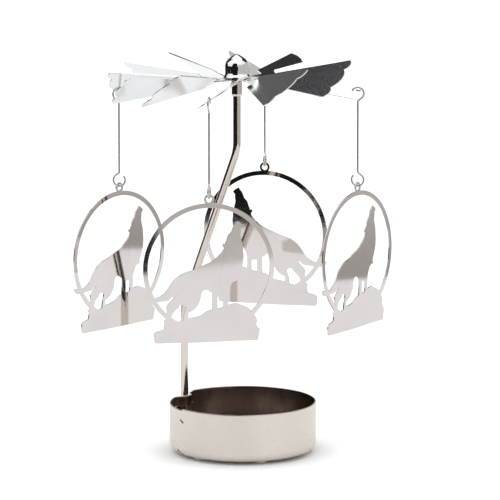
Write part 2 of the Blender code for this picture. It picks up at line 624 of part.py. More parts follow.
def rotor_wheel():
    bm = bmesh.new()
    inner, rim, necks = [], [], []
    half = asin(NECK_HALF / DISC_RADIUS)
    pitch = 2 * pi / BLADE_COUNT
    level = -PIVOT_ABOVE_DISC - WHEEL_SHEET / 2
    for k in range(BLADE_COUNT):
        middle = radians(FIRST_BLADE_AZIMUTH) + pitch * k
        ring = [bm.verts.new((DISC_RADIUS * cos(middle + t), DISC_RADIUS * sin(middle + t), level))
                for t in (-half, 0, half, pitch / 2)]
        inner += [bm.verts.new((DISC_HOLE_RADIUS * cos(middle + t),
                                DISC_HOLE_RADIUS * sin(middle + t), level))
                  for t in (-half, 0, half, pitch / 2)]
        rim += ring
        necks.append(ring[:3])
    for i in range(len(rim)):
        j = (i + 1) % len(rim)
        bm.faces.new((inner[i], rim[i], rim[j], inner[j]))
    for k, row in enumerate(necks):
        for i in range(1, NECK_ROWS + 1):
            r = DISC_RADIUS + (ROOT_RADIUS - DISC_RADIUS) * i / NECK_ROWS
            ahead = [bm.verts.new(blade_point(k, r, w)) for w in (-NECK_HALF, 0, NECK_HALF)]
            for a, b in ((0, 1), (1, 2)):
                bm.faces.new((row[a], ahead[a], ahead[b], row[b]))
            row = ahead
        edge = [bm.verts.new(blade_point(k, r, w)) for r, w in blade_end()]
        bm.faces.new(row[::-1] + edge[::-1])
    bmesh.ops.recalc_face_normals(bm, faces=bm.faces[:])
    mesh = bpy.data.meshes.new("rotor_wheel")
    bm.to_mesh(mesh)
    bm.free()
    ob = add_object("rotor_wheel", mesh, partsCollection)
    thick = ob.modifiers.new("sheet", 'SOLIDIFY')
    thick.thickness = WHEEL_SHEET
    thick.offset = 0
    ob = baked(ob)

    drills = []
    for _, k, _, _ in HANGERS:
        along, across = blade_frame(k, HOOK_HOLE_AT)
        normal = along.cross(across)
        turned = Matrix((along, across, normal)).transposed().to_4x4()
        reach = CUTTER_REACH * WHEEL_SHEET
        drill = revolved("drill", [(0, reach), (HOOK_HOLE_RADIUS, reach),
                                   (HOOK_HOLE_RADIUS, -reach), (0, -reach)], 20, cutters)
        drill.matrix_world = Matrix.Translation(blade_point(k, HOOK_HOLE_AT, HOOK_HOLE_SIDE)) @ turned
        drills.append(drill)
    ob = flattened(combine(ob, joined("hook_holes", drills, cutters), 'DIFFERENCE'))
    ob.matrix_world = leaning()
    finish(ob, CHROME)


def hook_place(k, azimuth):
    """Centre of the upper loop when the loop's top rests on the blade's edge."""
    lean = leaning()
    crossing = lean @ blade_point(k, HOOK_HOLE_AT - WIRE_INWARD, HOOK_HOLE_SIDE)
    along, across = blade_frame(k, HOOK_HOLE_AT)
    normal = lean.to_3x3() @ along.cross(across)
    out = direction(azimuth)
    slope = atan2(-normal.dot(out), normal.z)
    in_plane = sqrt(normal.dot(out) ** 2 + normal.z ** 2)
    drop = LOOP_RADIUS - WIRE_RADIUS - HOOK_SLACK - WHEEL_SHEET / 2 / in_plane
    half = sqrt(LOOP_RADIUS ** 2 - drop ** 2)
    line = out * cos(slope) + Vector((0, 0, sin(slope)))
    up = Vector((0, 0, cos(slope))) - out * sin(slope)
    return crossing - up * drop + line * half


def hook_path():
    """Centre line in the XZ plane, the upper loop's centre at the origin."""
    def loop(centre_z, side, end):
        count = round((end - LOOP_SWEEP_START) / LOOP_STEP)
        turns = [radians(LOOP_SWEEP_START + (end - LOOP_SWEEP_START) * i / count)
                 for i in range(count + 1)]
        return [Vector((LOOP_RADIUS * cos(t), 0, centre_z + side * LOOP_RADIUS * sin(t)))
                for t in turns]
    upper = loop(0, 1, UPPER_LOOP_END)
    lower = loop(-LOOP_DISTANCE, -1, LOWER_LOOP_END)
    start = radians(LOOP_SWEEP_START)
    # where the loop's tangent meets the shank
    knee = LOOP_RADIUS * (-sin(start) + cos(start) * cos(start) / -sin(start))
    corners = [upper[0], Vector((0, 0, -knee)), Vector((0, 0, knee - LOOP_DISTANCE)), lower[0]]
    return upper[::-1] + filleted(corners, HOOK_FILLET, 4)[1:-1] + lower


def hook(name, k, azimuth):
    ob = wire("hook_" + name, hook_path(), WIRE_RADIUS, 2)
    turned = Matrix.Rotation(radians(azimuth), 4, 'Z')
    ob.matrix_world = Matrix.Translation(hook_place(k, azimuth)) @ turned
    finish(ob, CHROME)


def medallion_mesh():
    """The stamped sheet, upright in the XZ plane, hung from the origin."""
    def loop(shares):
        return [(u * RING_RADIUS, v * RING_RADIUS) for u, v in shares]
    ring = flat_plate("medallion", [circle(RING_RADIUS, RING_STEPS),
                                    circle(RING_RADIUS - RING_BAND, RING_STEPS)], MEDALLION_SHEET)
    figure = flat_plate("figure", [loop(WOLF_SHARES), loop(HIND_GAP_SHARES),
                                   loop(BELLY_GAP_SHARES), loop(FORE_GAP_SHARES)],
                        MEDALLION_SHEET)
    top = (0, EYE_HEIGHT)
    eye = flat_plate("eye", [circle(EYE_RADIUS, EYE_STEPS, top),
                             circle(EYE_HOLE_RADIUS, EYE_STEPS, top)], MEDALLION_SHEET)
    ob = flattened(combine(combine(ring, figure, 'UNION'), eye, 'UNION'))
    below_wire = EYE_HEIGHT + EYE_HOLE_RADIUS - WIRE_RADIUS - CLEARANCE
    hang = Matrix.Rotation(radians(MEDALLION_HANG), 4, 'Y')
    ob.data.transform(hang @ Matrix.Translation((0, 0, -below_wire)) @ Matrix.Rotation(pi / 2, 4, 'X'))
    finish(ob, CHROME)
    mesh = ob.data
    bpy.data.objects.remove(ob, do_unlink=True)
    return mesh


def medallion(name, mesh, k, hook_azimuth, azimuth):
    ob = add_object("medallion_" + name, mesh, partsCollection)
    wire_centre = hook_place(k, hook_azimuth) - Vector((0, 0, LOOP_DISTANCE + LOOP_RADIUS))
    ob.matrix_world = (Matrix.Translation(wire_centre)
                       @ Matrix.Rotation(radians(azimuth), 4, 'Z'))


candle_cup()
stem()
needle_holder()
needle()
bearing_cup()
dome_cap()
rotor_wheel()
sheetMesh = medallion_mesh()
for hangerName, blade, hookAzimuth, plateAzimuth in HANGERS:
    hook(hangerName, blade, hookAzimuth)
    medallion(hangerName, sheetMesh, blade, hookAzimuth, plateAzimuth)
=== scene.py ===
from math import asin, atan2, cos, degrees, pi, radians, sin, sqrt, tan
import bpy
import bmesh
from mathutils import Matrix, Vector


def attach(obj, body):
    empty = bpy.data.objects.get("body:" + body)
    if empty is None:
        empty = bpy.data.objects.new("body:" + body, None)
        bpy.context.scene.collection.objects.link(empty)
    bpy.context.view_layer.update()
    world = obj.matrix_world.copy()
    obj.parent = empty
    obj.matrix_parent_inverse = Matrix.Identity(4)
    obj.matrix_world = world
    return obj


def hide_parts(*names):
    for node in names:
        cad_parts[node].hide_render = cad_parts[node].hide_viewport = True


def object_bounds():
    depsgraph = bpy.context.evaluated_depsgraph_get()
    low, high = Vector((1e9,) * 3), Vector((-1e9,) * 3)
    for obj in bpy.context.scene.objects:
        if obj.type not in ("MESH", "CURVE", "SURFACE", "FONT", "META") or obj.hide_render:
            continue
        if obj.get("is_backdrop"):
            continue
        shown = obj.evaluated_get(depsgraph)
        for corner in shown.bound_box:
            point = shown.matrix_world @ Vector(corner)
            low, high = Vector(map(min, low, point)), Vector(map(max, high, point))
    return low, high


# Candle carousel: the visible pieces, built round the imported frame.
# Metres, Z up, the origin in the middle of the cup's floor.
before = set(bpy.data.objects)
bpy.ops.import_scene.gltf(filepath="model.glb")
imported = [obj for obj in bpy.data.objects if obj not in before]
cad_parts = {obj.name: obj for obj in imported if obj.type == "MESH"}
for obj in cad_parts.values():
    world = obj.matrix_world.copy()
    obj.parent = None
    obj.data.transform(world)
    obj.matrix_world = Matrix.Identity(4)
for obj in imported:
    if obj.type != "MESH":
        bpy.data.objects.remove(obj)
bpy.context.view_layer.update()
scene = bpy.context.scene
# distances that count as none, for welding and for cutting
weld, fine, hair = 1e-5, 1e-6, 1e-7
print("frame loaded:", len(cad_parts), "nodes")

# the needle's tip, on which the wheel turns
spin = {"x": -0.0024, "y": 0.0014, "pivot": 0.1593, "lean": 3.32, "leanToward": 130.8}


def heading(azimuth):
    return Vector((cos(radians(azimuth)), sin(radians(azimuth)), 0))


def ease(share):
    share = min(1.0, max(0.0, share))
    return share * share * (3 - 2 * share)


def leaning():
    # the wheel and the dome lean together round the needle's tip
    return (Matrix.Translation((spin["x"], spin["y"], spin["pivot"]))
            @ Matrix.Rotation(radians(spin["lean"]), 4, heading(spin["leanToward"] + 90)))


def newObject(name, bm):
    mesh = bpy.data.meshes.new(name)
    bm.to_mesh(mesh)
    bm.free()
    obj = bpy.data.objects.new(name, mesh)
    scene.collection.objects.link(obj)
    return obj


def meshed(obj):
    # swap modifiers or a curve for the finished mesh
    name = obj.name
    graph = bpy.context.evaluated_depsgraph_get()
    mesh = bpy.data.meshes.new_from_object(obj.evaluated_get(graph))
    bpy.data.objects.remove(obj, do_unlink=True)
    obj = bpy.data.objects.new(name, mesh)
    scene.collection.objects.link(obj)
    return obj


def cleaned(obj):
    bm = bmesh.new()
    bm.from_mesh(obj.data)
    bmesh.ops.remove_doubles(bm, verts=bm.verts[:], dist=weld)
    bmesh.ops.recalc_face_normals(bm, faces=bm.faces[:])
    bm.to_mesh(obj.data)
    bm.free()
    return obj


def smoothed(obj, limit=35):
    # smooth faces, with an edge left sharp where it turns more than the limit
    bm = bmesh.new()
    bm.from_mesh(obj.data)
    for face in bm.faces:
        face.smooth = True
    for edge in bm.edges:
        edge.smooth = edge.is_manifold and edge.calc_face_angle() < radians(limit)
    bm.to_mesh(obj.data)
    bm.free()
    return obj


def placed(obj, matrix):
    obj.data.transform(matrix)
    return obj


def dressed(obj, body, node, material):
    obj.data.materials.clear()
    obj.data.materials.append(material)
    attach(obj, body)
    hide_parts(node)
    return obj


def lathe(name, profile, steps):
    # spin an outline of (radius, height) points; one that starts and ends on the axis closes
    bm = bmesh.new()
    verts = [bm.verts.new((r, 0, z)) for r, z in profile]
    edges = [bm.edges.new(pair) for pair in zip(verts, verts[1:])]
    bmesh.ops.spin(bm, geom=verts + edges, cent=(0, 0, 0), axis=(0, 0, 1), dvec=(0, 0, 0),
                   angle=2 * pi, steps=steps, use_merge=True, use_duplicate=False)
    return cleaned(newObject(name, bm))


def rod(name, path, radius, sides):
    curve = bpy.data.curves.new(name, 'CURVE')
    curve.dimensions = '3D'
    curve.bevel_depth = radius
    curve.bevel_resolution = sides // 2 - 2
    curve.use_fill_caps = True
    spline = curve.splines.new('POLY')
    spline.points.add(len(path) - 1)
    for point, place in zip(spline.points, path):
        point.co = (*place, 1)
    obj = bpy.data.objects.new(name, curve)
    scene.collection.objects.link(obj)
    return cleaned(meshed(obj))


def roundedEnds(obj, width, segments):
    # break the sharp edge round a rod's two flat ends
    bm = bmesh.new()
    bm.from_mesh(obj.data)
    ends = [f for f in bm.faces if len(f.verts) > 4]
    edges = list({e for f in ends for e in f.edges})
    bmesh.ops.bevel(bm, geom=edges, offset=width, offset_type='OFFSET', affect='EDGES',
                    segments=segments, profile=0.5, material=-1)
    bm.to_mesh(obj.data)
    bm.free()
    return obj


def turned(points, radius, steps):
    # round a path's corners
    path = [points[0]]
    for before, corner, after in zip(points, points[1:], points[2:]):
        back, ahead = (before - corner).normalized(), (after - corner).normalized()
        half = back.angle(ahead) / 2
        centre = corner + (back + ahead).normalized() * (radius / sin(half))
        first = (corner + back * (radius / tan(half)) - centre).normalized()
        last = (corner + ahead * (radius / tan(half)) - centre).normalized()
        path += [centre + first.slerp(last, i / steps) * radius for i in range(steps + 1)]
    return path + [points[-1]]


def edgeBevel(obj, width, segments=2, limit=50, slot=-1):
    bevel = obj.modifiers.new("edge", 'BEVEL')
    bevel.material = slot
    bevel.width = width
    bevel.segments = segments
    bevel.limit_method = 'ANGLE'
    bevel.angle_limit = radians(limit)
    bevel.use_clamp_overlap = False
    return obj


def twoSlots(obj):
    for slot in range(2):
        obj.data.materials.append(None)
    return obj


def flatShaded(obj, limit=50):
    # the sheet's wide faces have slot 0 and its edges slot 1: keep the wide ones truly flat
    smoothed(obj, limit)
    bm = bmesh.new()
    bm.from_mesh(obj.data)
    for edge in bm.edges:
        if len({face.material_index for face in edge.link_faces}) > 1:
            edge.smooth = False
    for face in bm.faces:
        face.material_index = 0
    bm.to_mesh(obj.data)
    bm.free()
    return obj


# materials

def mappedCoords(tree, scale, turn=(0, 0, 0), centre=(0, 0, 0)):
    # object coordinates, moved to a centre, then turned and scaled
    coords = tree.nodes.new('ShaderNodeTexCoord')
    mapping = tree.nodes.new('ShaderNodeMapping')
    mapping.vector_type = 'TEXTURE'
    mapping.inputs["Location"].default_value = centre
    mapping.inputs["Rotation"].default_value = turn
    mapping.inputs["Scale"].default_value = [1 / s for s in scale]
    tree.links.new(coords.outputs["Object"], mapping.inputs["Vector"])
    return mapping.outputs["Vector"]


def noise(tree, vector, detail=3.0, rough=0.5):
    made = tree.nodes.new('ShaderNodeTexNoise')
    made.inputs["Scale"].default_value = 1.0
    made.inputs["Detail"].default_value = detail
    made.inputs["Roughness"].default_value = rough
    tree.links.new(vector, made.inputs["Vector"])
    return made.outputs["Fac"]


def ranged(tree, value, low, high, fromLow=0.3, fromHigh=0.7):
    made = tree.nodes.new('ShaderNodeMapRange')
    made.inputs["From Min"].default_value = fromLow
    made.inputs["From Max"].default_value = fromHigh
    made.inputs["To Min"].default_value = low
    made.inputs["To Max"].default_value = high
    tree.links.new(value, made.inputs["Value"])
    return made.outputs["Result"]


def blended(tree, factor, first, second):
    made = tree.nodes.new('ShaderNodeMix')
    made.data_type = 'RGBA'
    made.inputs["A"].default_value = (*first, 1)
    made.inputs["B"].default_value = (*second, 1)
    tree.links.new(factor, made.inputs["Factor"])
    return made.outputs["Result"]


def bump(tree, height, strength, distance, under=None):
    made = tree.nodes.new('ShaderNodeBump')
    made.inputs["Strength"].default_value = strength
    made.inputs["Distance"].default_value = distance
    tree.links.new(height, made.inputs["Height"])
    if under is not None:
        tree.links.new(under, made.inputs["Normal"])
    return made.outputs["Normal"]


def metal(name, look):
    # look: two tones, the roughness range, the size of clouds and of brush marks, and their relief
    material = bpy.data.materials.new(name)
    material.use_nodes = True
    tree = material.node_tree
    shader = tree.nodes["Principled BSDF"]
    shader.inputs["Metallic"].default_value = 1.0
    turn = [radians(a) for a in look.get("turn", (0, 0, 0))]
    centre = look.get("centre", (0, 0, 0))
    clouds = noise(tree, mappedCoords(tree, look["clouds"], turn, centre), 3.0)
    marks = noise(tree, mappedCoords(tree, look["marks"], turn, centre), 4.0, 0.6)
    waves = noise(tree, mappedCoords(tree, look["waves"], turn, centre), 1.0)
    tree.links.new(blended(tree, ranged(tree, clouds, 0, 1), look["tone"], look["tint"]),
                   shader.inputs["Base Color"])
    low, high = look["roughness"]
    tree.links.new(ranged(tree, marks, low, high), shader.inputs["Roughness"])
    relief = bump(tree, waves, look["waveStrength"], look["waveHeight"])
    relief = bump(tree, marks, look["markStrength"], look["markHeight"], relief)
    tree.links.new(relief, shader.inputs["Normal"])
    material.diffuse_color = (*look["tone"], 1)
    return material


cupLook = {
    "tone": (0.78, 0.725, 0.66), "tint": (0.75, 0.695, 0.63), "roughness": (0.27, 0.29),
    "clouds": (60, 60, 25), "marks": (90, 90, 1500), "waves": (45, 45, 25),
    "waveStrength": 0.05, "waveHeight": 0.0004, "markStrength": 0.01, "markHeight": 0.00001,
}
# the cup's inside: the same steel made darker and browner, as painted shade
cupInsidePaintedShadeLook = {
    "tone": (0.45, 0.38, 0.335), "tint": (0.39, 0.325, 0.285), "roughness": (0.16, 0.26),
    "clouds": (90, 90, 12), "marks": (260, 260, 30), "waves": (110, 110, 30),
    "waveStrength": 0.10, "waveHeight": 0.0004, "markStrength": 0.04, "markHeight": 0.00004,
}
rodLook = {
    "tone": (0.72, 0.665, 0.61), "tint": (0.66, 0.605, 0.55), "roughness": (0.05, 0.12),
    "clouds": (200, 200, 30), "marks": (3500, 3500, 60), "waves": (120, 120, 25),
    "waveStrength": 0.08, "waveHeight": 0.0002, "markStrength": 0.10, "markHeight": 0.00002,
}
bladeLook = {
    "tone": (0.84, 0.865, 0.865), "tint": (0.79, 0.82, 0.825), "roughness": (0.08, 0.14),
    "clouds": (70, 70, 70), "marks": (900, 900, 900), "waves": (45, 45, 45),
    "waveStrength": 0.04, "waveHeight": 0.0004, "markStrength": 0.03, "markHeight": 0.00001,
}
plateLook = {
    "tone": (0.715, 0.68, 0.665), "tint": (0.675, 0.645, 0.63), "roughness": (0.03, 0.06),
    "clouds": (60, 60, 60), "marks": (1200, 1200, 1200), "waves": (35, 35, 35),
    "waveStrength": 0.02, "waveHeight": 0.0003, "markStrength": 0.03, "markHeight": 0.00001,
}
domeLook = {
    "tone": (0.86, 0.855, 0.84), "tint": (0.80, 0.80, 0.79), "roughness": (0.02, 0.06),
    "clouds": (300, 300, 300), "marks": (1500, 1500, 1500), "waves": (260, 260, 260),
    "waveStrength": 0.10, "waveHeight": 0.0001, "markStrength": 0.05, "markHeight": 0.00001,
}
wireLook = {
    "tone": (0.58, 0.57, 0.56), "tint": (0.50, 0.49, 0.48), "roughness": (0.12, 0.25),
    "clouds": (300, 300, 120), "marks": (2500, 2500, 300), "waves": (400, 400, 120),
    "waveStrength": 0.10, "waveHeight": 0.0001, "markStrength": 0.15, "markHeight": 0.00002,
}
needleLook = {
    "tone": (0.56, 0.56, 0.57), "tint": (0.48, 0.48, 0.50), "roughness": (0.18, 0.32),
    "clouds": (500, 500, 200), "marks": (3000, 3000, 400), "waves": (500, 500, 200),
    "waveStrength": 0.10, "waveHeight": 0.0001, "markStrength": 0.15, "markHeight": 0.00002,
}
brassLook = {
    "tone": (0.74, 0.56, 0.27), "tint": (0.60, 0.43, 0.19), "roughness": (0.22, 0.38),
    "clouds": (500, 500, 500), "marks": (600, 600, 4000), "waves": (400, 400, 400),
    "waveStrength": 0.10, "waveHeight": 0.0001, "markStrength": 0.15, "markHeight": 0.00002,
}
cupSteel = metal("cup_satin_steel", cupLook)
cupInsidePaintedShade = metal("cup_inside_painted_shade", cupInsidePaintedShadeLook)
rodChrome = metal("stem_chrome", rodLook)
bladeChrome = metal("wheel_chrome", bladeLook)
plateChrome = metal("medallion_chrome", plateLook)
domeChrome = metal("dome_chrome", domeLook)
hookWire = metal("hook_wire", wireLook)
needleSteel = metal("needle_polished_steel", needleLook)
bearingBrass = metal("bearing_brass", brassLook)
print("materials ready")

# candle cup: one shell, spun, pressed and slit, then given its thickness

cup = {
    "sheet": 0.0005, "radius": 0.0303, "rim": 0.0197, "corner": 0.0033, "columns": 360, "rimFacing": 0.3,
    "floorRings": (0.0035, 0.0075, 0.0115, 0.0150, 0.0180, 0.0200),
    "feetFrom": 0.0205, "feetRings": 20, "cornerRows": 8,
    "wallRows": (0.0033, 0.0048, 0.0066, 0.0084, 0.0102, 0.0118, 0.0132, 0.01435, 0.01485,
                 0.0156, 0.0166, 0.0176, 0.0186, 0.0192, 0.0197),
    "lowRim": 0.0007, "lowFrom": 133.0, "lowTo": 215.5, "lowEase": (5.0, 2.0),
    "edgeRound": 0.00012, "sharp": 40.0,
}
feet = {
    "count": 6, "first": -73.6, "circle": 0.0246, "flat": 0.0016, "edge": 0.0039, "depth": 0.0012,
}
clip = {
    "azimuth": 148.0, "halfSpan": 0.0069, "seat": 0.0017, "slopeEnd": 0.0060,
    "band": 0.00355, "strap": 0.00075, "upperSlit": (0.01435, 0.01485), "lowerSlit": (0.0028, 0.0033),
}
# two slits that fall to the right: azimuth, place's height, length, slant and width
lance = {
    "upper": (-146.2, 0.0144, 0.0026, -27.0, 0.0006),
    "lower": (-150.0, 0.0009, 0.0042, -23.0, 0.0012), "lip": 0.00015,
}


def cutSlot(bm, place, along, across, length, height, lip):
    # cut a small slanted slot in the shell round a place, and push its lower edge out a little
    out = along.cross(across)
    def nearby():
        faces = [f for f in bm.faces if (f.calc_center_median() - place).length < length]
        return list({g for f in faces for g in (*f.verts, *f.edges)}) + faces
    for offset, normal in ((along * length / 2, along), (-along * length / 2, along),
                           (across * height / 2, across), (-across * height / 2, across)):
        bmesh.ops.bisect_plane(bm, geom=nearby(), plane_co=place + offset, plane_no=normal, dist=hair)
    inside = []
    for face in bm.faces:
        apart = face.calc_center_median() - place
        if (abs(apart.dot(along)) < length / 2 and abs(apart.dot(across)) < height / 2
                and apart.length < length):
            inside.append(face)
    bmesh.ops.delete(bm, geom=inside, context='FACES')
    for v in bm.verts:
        apart = v.co - place
        side = -apart.dot(across) - height / 2
        if apart.length < length and -fine < side < 2 * height:
            share = max(0.0, 1 - (2 * apart.dot(along) / length) ** 2) * (1 - side / height / 2)
            v.co += out * lip * share


def makeCup():
    half = cup["sheet"] / 2
    wall, bend = cup["radius"] - half, cup["corner"] - half
    flat = wall - bend
    step = (flat - cup["feetFrom"]) / cup["feetRings"]
    rings = [cup["feetFrom"] + step * i for i in range(cup["feetRings"] + 1)]
    line = [(r, -half) for r in (0.0, *cup["floorRings"], *rings)]
    for i in range(1, cup["cornerRows"] + 1):
        t = pi / 2 * i / cup["cornerRows"]
        line.append((flat + bend * sin(t), bend - half - bend * cos(t)))
    line += [(wall, z) for z in cup["wallRows"]]
    bm = bmesh.new()
    verts = [bm.verts.new((r, 0, z)) for r, z in line]
    edges = [bm.edges.new(pair) for pair in zip(verts, verts[1:])]
    bmesh.ops.spin(bm, geom=verts + edges, cent=(0, 0, 0), axis=(0, 0, 1), dvec=(0, 0, 0),
                   angle=2 * pi, steps=cup["columns"], use_merge=True, use_duplicate=False)
    bmesh.ops.remove_doubles(bm, verts=bm.verts[:], dist=weld)
    bmesh.ops.recalc_face_normals(bm, faces=bm.faces[:])
    if sum(f.normal.z for f in bm.faces if f.calc_center_median().z < -half / 2) > 0:
        bmesh.ops.reverse_faces(bm, faces=bm.faces[:])

    # six feet pressed down out of the floor
    between = 360 / feet["count"]
    places = [heading(feet["first"] + between * i) * feet["circle"] for i in range(feet["count"])]
    for v in bm.verts:
        if v.co.z > cup["corner"]:
            continue
        away = min(sqrt((v.co.x - p.x) ** 2 + (v.co.y - p.y) ** 2) for p in places)
        v.co.z -= feet["depth"] * (1 - ease((away - feet["flat"]) / (feet["edge"] - feet["flat"])))

    # the slits of the stem's clip, and what is pressed in and out round them
    def around(point):
        turn = atan2(point.y, point.x) - radians(clip["azimuth"])
        return (turn + pi) % (2 * pi) - pi
    gone = []
    for face in bm.faces:
        middle = face.calc_center_median()
        if abs(around(middle)) * cup["radius"] < clip["halfSpan"]:
            for low, high in (clip["upperSlit"], clip["lowerSlit"]):
                if low < middle.z < high:
                    gone.append(face)
    bmesh.ops.delete(bm, geom=gone, context='FACES')
    for v in bm.verts:
        reach = sqrt(v.co.x ** 2 + v.co.y ** 2)
        if reach < flat:
            continue
        slope = (abs(around(v.co)) * cup["radius"] - clip["seat"]) / (clip["slopeEnd"] - clip["seat"])
        moved = 0
        if v.co.z > clip["upperSlit"][0] + weld:
            moved = -clip["band"] * (1 - ease(slope))
        elif v.co.z > clip["lowerSlit"][0] + weld:
            moved = clip["strap"] * (1 - ease(slope))
        v.co.x *= (reach + moved) / reach
        v.co.y *= (reach + moved) / reach
        # the rim sits a little lower to the left of the clip
        azimuth = degrees(atan2(v.co.y, v.co.x)) % 360
        easeIn, easeOut = cup["lowEase"]
        low = ease((azimuth - cup["lowFrom"]) / easeIn) * ease((cup["lowTo"] - azimuth) / easeOut)
        above = max(0.0, (v.co.z - clip["upperSlit"][1]) / (cup["rim"] - clip["upperSlit"][1]))
        v.co.z -= cup["lowRim"] * low * above

    for azimuth, z, length, slant, height in (lance["upper"], lance["lower"]):
        tilt = asin(max(0.0, bend - half - z) / bend)      # how far the wall there faces down
        reach = flat + bend * cos(tilt)
        out = heading(azimuth) * cos(tilt) - Vector((0, 0, sin(tilt)))
        level = heading(azimuth + 90)
        turn = Matrix.Rotation(radians(slant), 3, out)
        cutSlot(bm, heading(azimuth) * reach + Vector((0, 0, z)), turn @ level, turn @ out.cross(level),
                length, height, lance["lip"])
    obj = newObject("cup_shell", bm)
    twoSlots(obj)
    wallSheet = obj.modifiers.new("sheet", 'SOLIDIFY')
    wallSheet.thickness = cup["sheet"]
    wallSheet.offset = 0
    # the inside and every cut edge, the slits' walls among them, take slot 1: painted shade
    wallSheet.material_offset = wallSheet.material_offset_rim = 1
    edgeBevel(obj, cup["edgeRound"])
    obj = smoothed(meshed(obj), cup["sharp"])
    # the rim's top takes the outer side's tone; the rest of slot 1 keeps the inside's painted shade
    rimFrom = cup["rim"] - cup["lowRim"] - cup["sheet"]
    slots = [0 if face.center.z > rimFrom and face.normal.z > cup["rimFacing"]
             else face.material_index for face in obj.data.polygons]
    dressed(obj, "cup", "candle_cup", cupSteel)
    obj.data.materials.append(cupInsidePaintedShade)
    obj.data.polygons.foreach_set("material_index", slots)
    return obj


cupShell = makeCup()
print("cup done:", len(cupShell.data.polygons), "faces")

# stem, the needle's holder and the needle

stem = {
    "radius": 0.0016, "footReach": 0.02865, "footZ": 0.0030, "lowBend": 0.0573, "highBend": 0.1245,
    "topZ": 0.1502, "bendRadius": 0.020, "bendSteps": 24, "sides": 48, "endRound": 0.0003,
    "endSteps": 3,
}
holder = {
    "radius": 0.00223, "low": 0.1472, "high": 0.1532, "socket": 0.0019, "socketTop": 0.1505,
    "bore": 0.0008, "boreFloor": 0.1510, "chamfer": 0.0008, "steps": 72,
    "sharp": 10.0,
}
needle = {"radius": 0.0005, "root": 0.1513, "point": 0.0020, "tipRound": 0.00006, "steps": 32}
bearing = {
    "radius": 0.0016, "top": 0.0036, "low": -0.0016, "chamfer": 0.0003, "mouth": 0.00125,
    "hollow": 0.0003, "steps": 48,
}
onAxis = Matrix.Translation((spin["x"], spin["y"], 0))

foot = heading(clip["azimuth"]) * stem["footReach"]
stemPath = turned([Vector((foot.x, foot.y, stem["footZ"])), Vector((foot.x, foot.y, stem["lowBend"])),
                   Vector((spin["x"], spin["y"], stem["highBend"])),
                   Vector((spin["x"], spin["y"], stem["topZ"]))], stem["bendRadius"], stem["bendSteps"])
stemRod = roundedEnds(rod("stem_rod", stemPath, stem["radius"], stem["sides"]), stem["endRound"],
                      stem["endSteps"])
dressed(smoothed(stemRod), "stem", "stem", rodChrome)

edge = holder["chamfer"]
collar = lathe("needle_holder_sleeve", [
    (0, holder["boreFloor"]), (holder["bore"], holder["boreFloor"]),
    (holder["bore"], holder["high"] - edge / 4), (holder["bore"] + edge / 4, holder["high"]),
    (holder["radius"] - edge / 2, holder["high"]),
    (holder["radius"] - edge / 6, holder["high"] - edge / 6), (holder["radius"], holder["high"] - edge / 2),
    (holder["radius"], holder["low"] + edge), (holder["socket"] + edge / 5, holder["low"] + edge / 10),
    (holder["socket"] + edge / 10, holder["low"]),
    (holder["socket"], holder["low"]), (holder["socket"], holder["socketTop"]), (0, holder["socketTop"]),
], holder["steps"])
dressed(smoothed(placed(collar, onAxis), holder["sharp"]), "stem", "needle_holder", rodChrome)

tip = needle["tipRound"]
pin = lathe("needle_pin", [
    (0, spin["pivot"]), (tip * 0.7, spin["pivot"] - tip * 0.3), (tip, spin["pivot"] - tip),
    (needle["radius"], spin["pivot"] - needle["point"]), (needle["radius"], needle["root"]),
    (0, needle["root"]),
], needle["steps"])
dressed(smoothed(placed(pin, onAxis)), "stem", "needle", needleSteel)

cone = [(bearing["mouth"] * (1 - i / 6), bearing["low"] + (bearing["hollow"] - bearing["low"]) * i / 6)
        for i in range(7)]
brassCup = lathe("bearing_insert", [
    (0, bearing["top"]), (bearing["radius"] - bearing["chamfer"], bearing["top"]),
    (bearing["radius"], bearing["top"] - bearing["chamfer"]), (bearing["radius"], bearing["low"]), *cone,
], bearing["steps"])
placed(brassCup, Matrix.Translation((spin["x"], spin["y"], spin["pivot"])))
dressed(smoothed(brassCup), "bearing", "bearing_cup", bearingBrass)
print("stem, holder, needle and bearing done")

# dome cap, heights from the top of the hub disc

dome = {
    "aboveDisc": 0.0050, "top": 0.0103, "spring": 0.0054, "point": 1.85, "radius": 0.0051,
    "footRadius": 0.0052, "foot": 0.0026, "skirtTop": 0.0019, "skirtLip": 0.0009,
    "skirtRadius": 0.0059, "gap": 0.0003, "sheet": 0.0005, "rows": 18, "steps": 120, "sharp": 40.0,
}


def makeDome():
    def shell(less):
        radius, top = dome["radius"] - less, dome["top"] - less
        rise = top - dome["spring"]
        turns = [pi / 2 * i / dome["rows"] for i in range(dome["rows"] + 1)]
        arc = [(radius * sin(t) ** dome["point"], dome["spring"] + rise * cos(t)) for t in turns]
        return arc + [(dome["footRadius"] - less, dome["foot"])]
    rise = (dome["skirtRadius"] - dome["footRadius"]) / 6
    sheet = dome["sheet"]
    flare = [(dome["footRadius"] + rise / 2, dome["skirtTop"] + rise),
             (dome["footRadius"] + rise * 2, dome["skirtTop"] - rise),
             (dome["skirtRadius"] - rise, dome["skirtLip"] + rise * 1.5),
             (dome["skirtRadius"] - rise / 3, dome["skirtLip"] + rise / 2),
             (dome["skirtRadius"], dome["skirtLip"] - rise)]
    outer = shell(0) + flare + [(dome["skirtRadius"], dome["gap"] + rise / 2),
                                (dome["skirtRadius"] - rise / 2, dome["gap"])]
    inner = shell(sheet) + [(r - sheet, z - rise / 2) for r, z in flare]
    inner.append((dome["skirtRadius"] - sheet, dome["gap"]))
    profile = [(r, z - dome["aboveDisc"]) for r, z in outer + inner[::-1]]
    obj = placed(lathe("dome_shell", profile, dome["steps"]), leaning())
    return dressed(smoothed(obj, dome["sharp"]), "rotor", "dome_cap", domeChrome)


makeDome()
print("dome done")

# spinning wheel: hub disc and twelve blades twisted out of one sheet

